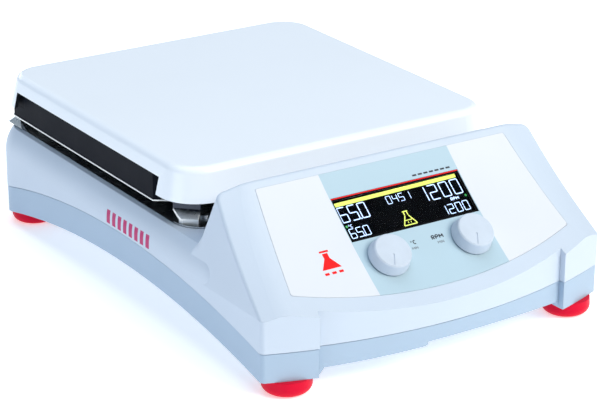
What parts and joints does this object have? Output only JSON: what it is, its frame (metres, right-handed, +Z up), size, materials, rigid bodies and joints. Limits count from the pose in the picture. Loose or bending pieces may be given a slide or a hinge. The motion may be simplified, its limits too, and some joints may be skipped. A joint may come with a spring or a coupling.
{
  "type": "magnetic hotplate stirrer",
  "caption": "Bench magnetic stirrer with a large white heated plate, a sloping control panel with display and push knobs, and rubber feet.",
  "frame": {"origin": "on the bench, under the centre of the machine's bounding box", "axes": "+Z up; -Y is the control-panel side; +X is the operator's right when facing the panel"},
  "size_m": [0.2726, 0.423, 0.1182],
  "materials": {
    "plate_enamel": "glossy white ceramic coating",
    "housing_blue": "satin powder coat, pale blue",
    "base_blue": "satin powder coat, a darker pale blue",
    "pan_black": "heat-proof black enamel",
    "sheet_steel": "folded stainless sheet",
    "foot_red": "soft crimson rubber",
    "overlay_white": "printed polyester film, satin",
    "strip_blue": "printed polyester film, satin",
    "knob_grey": "moulded plastic",
    "lens_clear": "clear acrylic",
    "lcd_dark": "display panel",
    "board_green": "glass-fibre circuit board",
    "black_plastic": "moulded plastic",
    "red_plastic": "moulded plastic",
    "pin_brass": "bright",
    "bright_steel": "zinc-plated",
    "motor_grey": "satin",
    "magnet_nickel": "nickel-plated",
    "aluminium_plain": "as drawn",
    "insulation_white": "pressed mineral fibre"
  },
  "bodies": {
    "machine": {"top_plate": "plate_enamel", "heating_element": "bright_steel", "plate_insulation": "insulation_white", "plate_sensor": "bright_steel", "heater_pan": "pan_black", "reflector_plate": "sheet_steel", "heat_shield_tray": "sheet_steel", "front_pan_brackets": "sheet_steel", "rear_pan_brackets": "sheet_steel", "upper_housing": "housing_blue", "lower_base": "base_blue", "panel_overlay": "overlay_white", "overlay_centre_strip": "strip_blue", "display_window": "lens_clear", "display_module": "lcd_dark", "display_board": "board_green", "display_board_spacers": "bright_steel", "display_board_screws": "bright_steel", "motor_mount_plate": "bright_steel", "stir_motor": "motor_grey", "motor_bearing": "bright_steel", "main_board": "board_green", "main_board_pillars": "black_plastic", "main_board_screws": "bright_steel", "power_supply": "black_plastic", "triac_heat_sink": "aluminium_plain", "mains_inlet": "black_plastic", "inlet_pins": "pin_brass", "inlet_screws": "bright_steel", "switch_frame": "black_plastic", "fuse_holder": "black_plastic", "fuse": "lens_clear", "probe_jack": "bright_steel", "rod_boss": "aluminium_plain", "rod_boss_screws": "bright_steel", "shell_screws": "bright_steel", "shield_screws": "bright_steel", "motor_screws": "bright_steel", "foot_front_left": "foot_red", "foot_front_right": "foot_red", "foot_rear_left": "foot_red", "foot_rear_right": "foot_red", "encoder_body_left": "bright_steel", "encoder_body_right": "bright_steel"},
    "temperature_push": {"encoder_plunger_left": "bright_steel"},
    "temperature_dial": {"temperature_knob": "knob_grey", "knob_shaft_left": "bright_steel"},
    "speed_push": {"encoder_plunger_right": "bright_steel"},
    "speed_dial": {"speed_knob": "knob_grey", "knob_shaft_right": "bright_steel"},
    "stirrer_drive": {"motor_shaft": "bright_steel", "magnet_yoke": "bright_steel", "drive_magnets": "magnet_nickel"},
    "power_switch_rocker": {"power_rocker": "red_plastic"},
    "fuse_drawer": {"fuse_cap": "black_plastic"},
    "rod_lock": {"rod_lock_screw": "black_plastic"}
  },
  "joints": [
    {"name": "temperature_press", "type": "slide", "parent": "machine", "child": "temperature_push", "axis": [0, 0.6018, -0.7986], "range_m": [0, 0.0006], "stiffness_N_per_m": 2500},
    {"name": "temperature_turn", "type": "hinge", "parent": "temperature_push", "child": "temperature_dial", "pos_m": [-0.032, -0.1782, 0.06981], "axis": [0, -0.6018, 0.7986], "continuous": true},
    {"name": "speed_press", "type": "slide", "parent": "machine", "child": "speed_push", "axis": [0, 0.6018, -0.7986], "range_m": [0, 0.0006], "stiffness_N_per_m": 2500},
    {"name": "speed_turn", "type": "hinge", "parent": "speed_push", "child": "speed_dial", "pos_m": [0.0348, -0.1782, 0.06981], "axis": [0, -0.6018, 0.7986], "continuous": true},
    {"name": "stirrer_spin", "type": "hinge", "parent": "machine", "child": "stirrer_drive", "pos_m": [0, 0.05, 0.0675], "axis": [0, 0, 1], "continuous": true},
    {"name": "power_switch", "type": "hinge", "parent": "machine", "child": "power_switch_rocker", "pos_m": [-0.05, 0.189, 0.043], "axis": [0, 0, 1], "range_deg": [0, 16]},
    {"name": "fuse_cap_turn", "type": "hinge", "parent": "machine", "child": "fuse_drawer", "pos_m": [-0.022, 0.187, 0.043], "axis": [0, 1, 0], "range_deg": [0, 60]},
    {"name": "rod_lock_turn", "type": "hinge", "parent": "machine", "child": "rod_lock", "pos_m": [0.102, 0.2005, 0.045], "axis": [1, 0, 0], "continuous": true}
  ]
}
